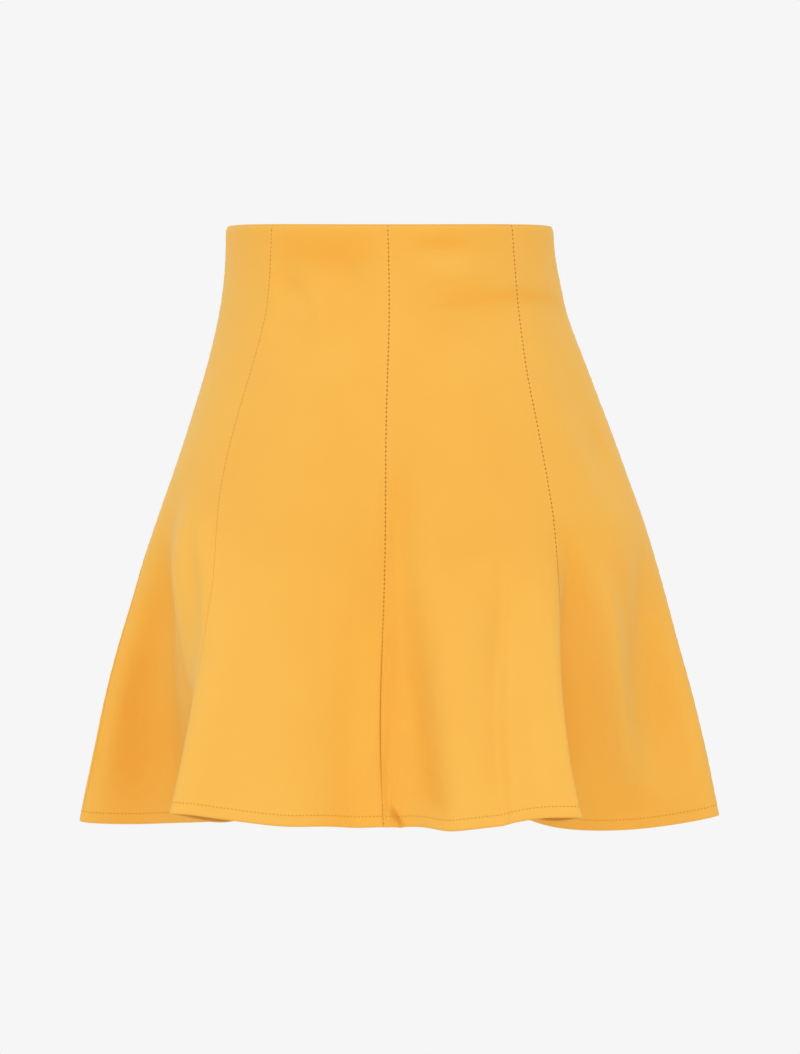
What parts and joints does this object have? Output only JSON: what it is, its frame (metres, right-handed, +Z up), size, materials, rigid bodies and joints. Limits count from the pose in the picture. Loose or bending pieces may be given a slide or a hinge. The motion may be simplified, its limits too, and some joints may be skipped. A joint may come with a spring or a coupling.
{
  "type": "a-line skirt",
  "caption": "Short a-line skirt of flared gores, standing open as it is worn, with a smooth fitted waist, deep soft folds at the hem and a concealed zip at centre back.",
  "frame": {"origin": "middle of the waist opening, level with the top edge at its sides and back, where the wearer's waist holds the skirt", "axes": "+Z up, the front faces -Y, +X to the right as seen from the front"},
  "size_m": [0.4445, 0.3456, 0.4178],
  "materials": {
    "cloth": "smooth marigold crepe with a fine weave and a soft sheen at grazing angles",
    "zip_tape": "thin woven tape dyed to match the cloth",
    "zip_metal": "die-cast metal lacquered to match the cloth"
  },
  "bodies": {
    "skirt": {"front_centre_left": "cloth", "front_centre_right": "cloth", "front_side_left": "cloth", "front_side_right": "cloth", "back_side_left": "cloth", "back_side_right": "cloth", "back_centre_left": "cloth", "back_centre_right": "cloth", "zip_tape_left": "zip_tape", "zip_tape_right": "zip_tape", "zip_slider": "zip_metal"},
    "pull": {"zip_pull": "zip_metal"}
  },
  "joints": [
    {"name": "pull_swing", "type": "hinge", "parent": "skirt", "child": "pull", "pos_m": [0, 0.08936, -0.00952], "axis": [1, 0, 0], "range_deg": [0, 160]}
  ]
}
